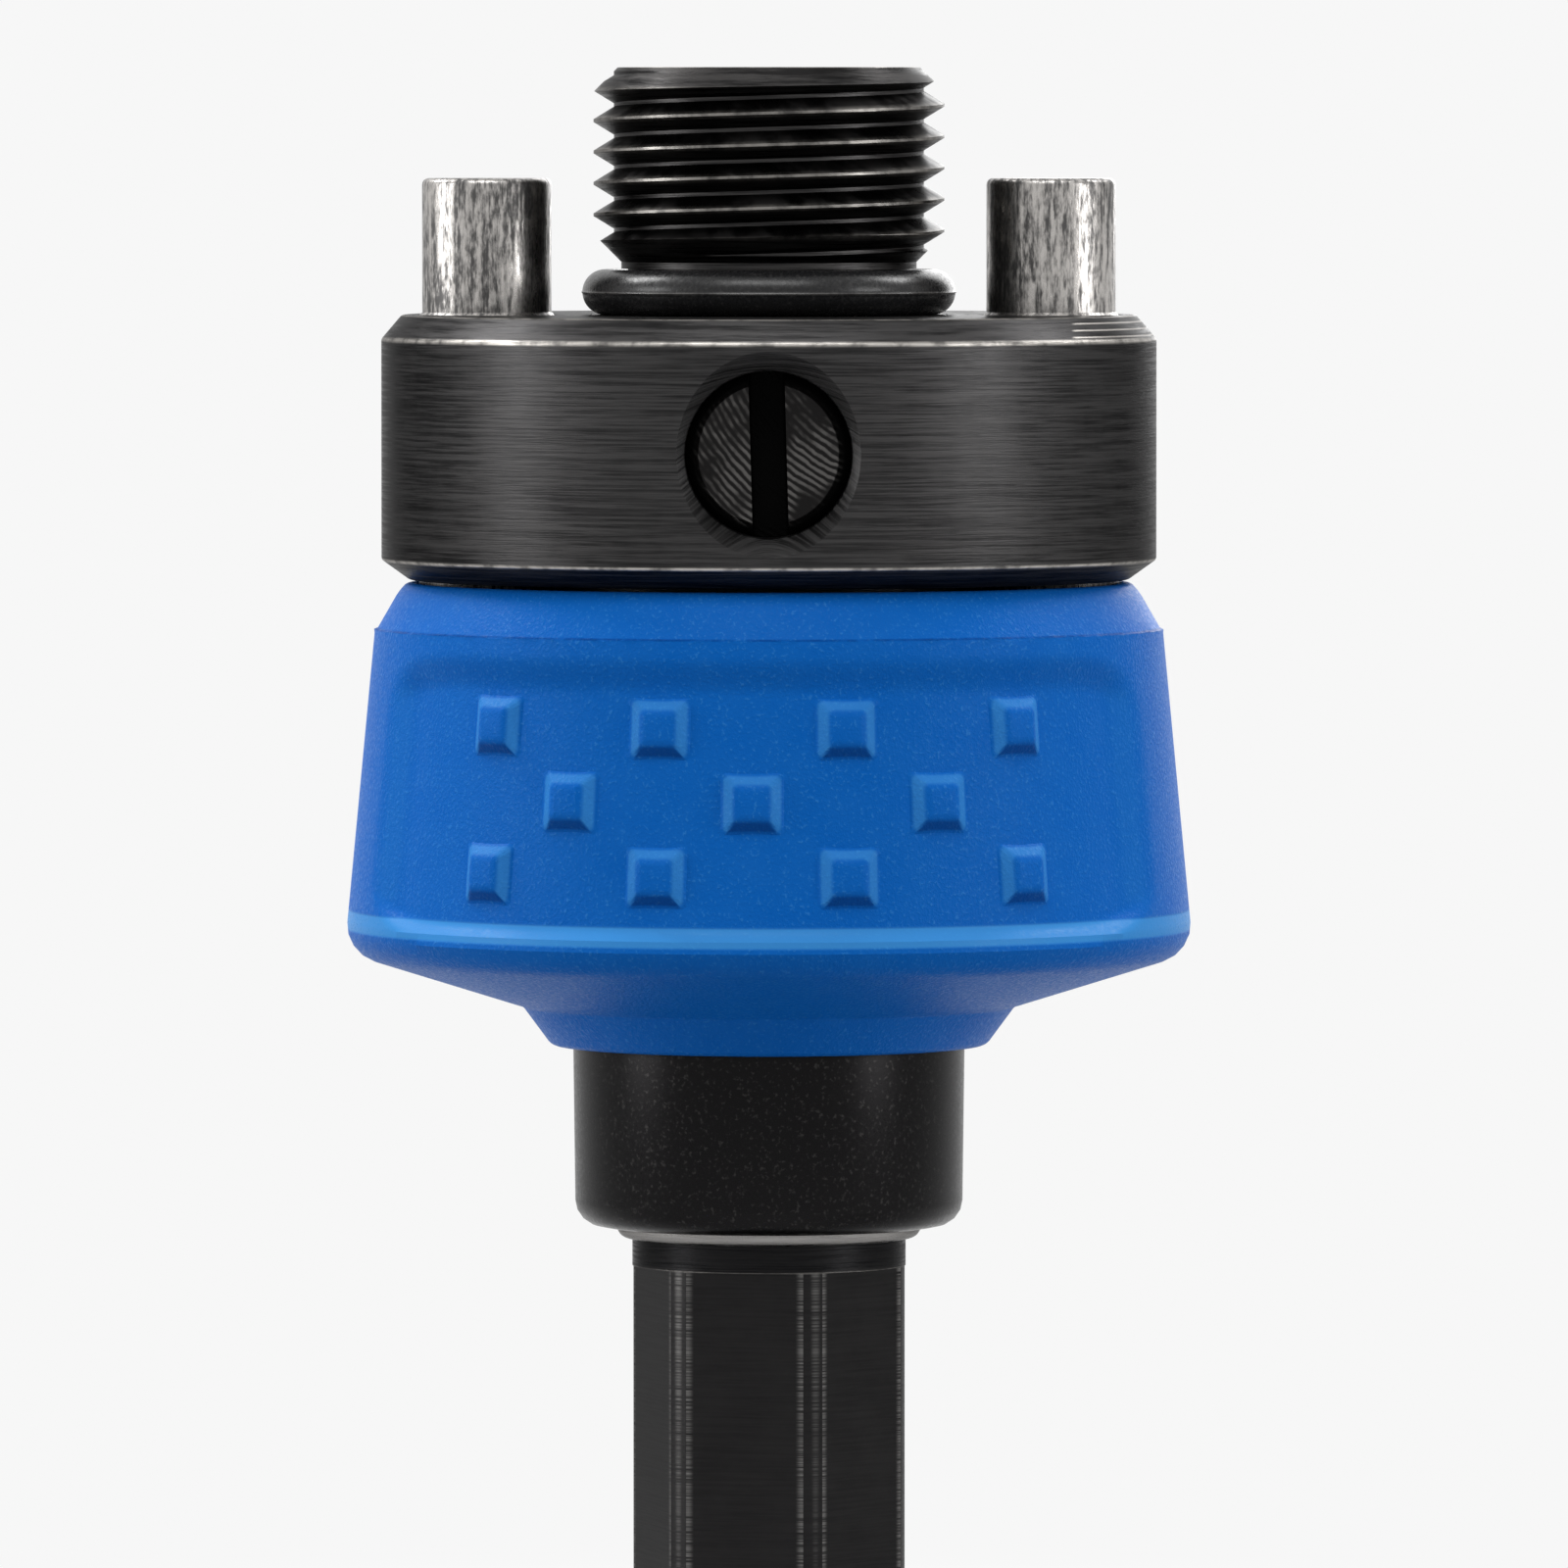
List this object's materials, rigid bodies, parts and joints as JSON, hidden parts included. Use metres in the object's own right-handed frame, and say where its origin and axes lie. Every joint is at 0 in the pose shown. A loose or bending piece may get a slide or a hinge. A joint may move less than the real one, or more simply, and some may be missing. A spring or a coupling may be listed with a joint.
{
  "type": "hole saw arbor",
  "caption": "Hole saw arbor with a hex shank, threaded nose, drive plate and spring-loaded drive pins that a blue grip collar draws back; a slotted set screw clamps the pilot drill.",
  "frame": {"origin": "centre of the shank's end face", "axes": "+Z along the spindle from the shank's end to the threaded nose, the set screw facing -Y, the drive pins at -X and +X"},
  "size_m": [0.038, 0.038, 0.0847],
  "materials": {
    "black_steel": "blackened, satin, fine turning lines",
    "plate_steel": "blackened, turned, bright chamfer edges",
    "black_rubber": "satin",
    "pin_steel": "bare, mottled",
    "carrier_steel": "zinc plated",
    "blue_plastic": "matte, fine grain",
    "spring_steel": "drawn wire",
    "sleeve_black": "blackened, smooth satin",
    "screw_black": "blackened, faced end"
  },
  "bodies": {
    "arbor": {"spindle": "black_steel", "drive_plate": "plate_steel", "nose_o_ring": "black_rubber", "guide_sleeve": "sleeve_black", "sleeve_retaining_ring": "spring_steel", "return_spring": "spring_steel"},
    "collar": {"grip_collar": "blue_plastic", "pin_carrier": "carrier_steel", "drive_pin_left": "pin_steel", "drive_pin_right": "pin_steel", "carrier_screw_1": "carrier_steel", "carrier_screw_2": "carrier_steel", "carrier_screw_3": "carrier_steel", "carrier_screw_4": "carrier_steel"},
    "set_screw": {"pilot_set_screw": "screw_black"}
  },
  "joints": [
    {"name": "collar_slide", "type": "slide", "parent": "arbor", "child": "collar", "axis": [0, 0, -1], "range_m": [0, 0.0068], "stiffness_N_per_m": 900, "springref_m": -0.006, "deforming": ["return_spring"]},
    {"name": "set_screw_turn", "type": "hinge", "parent": "arbor", "child": "set_screw", "pos_m": [0, -0.0102, 0.0676], "axis": [0, -1, 0], "range_deg": [-230, 720]}
  ]
}
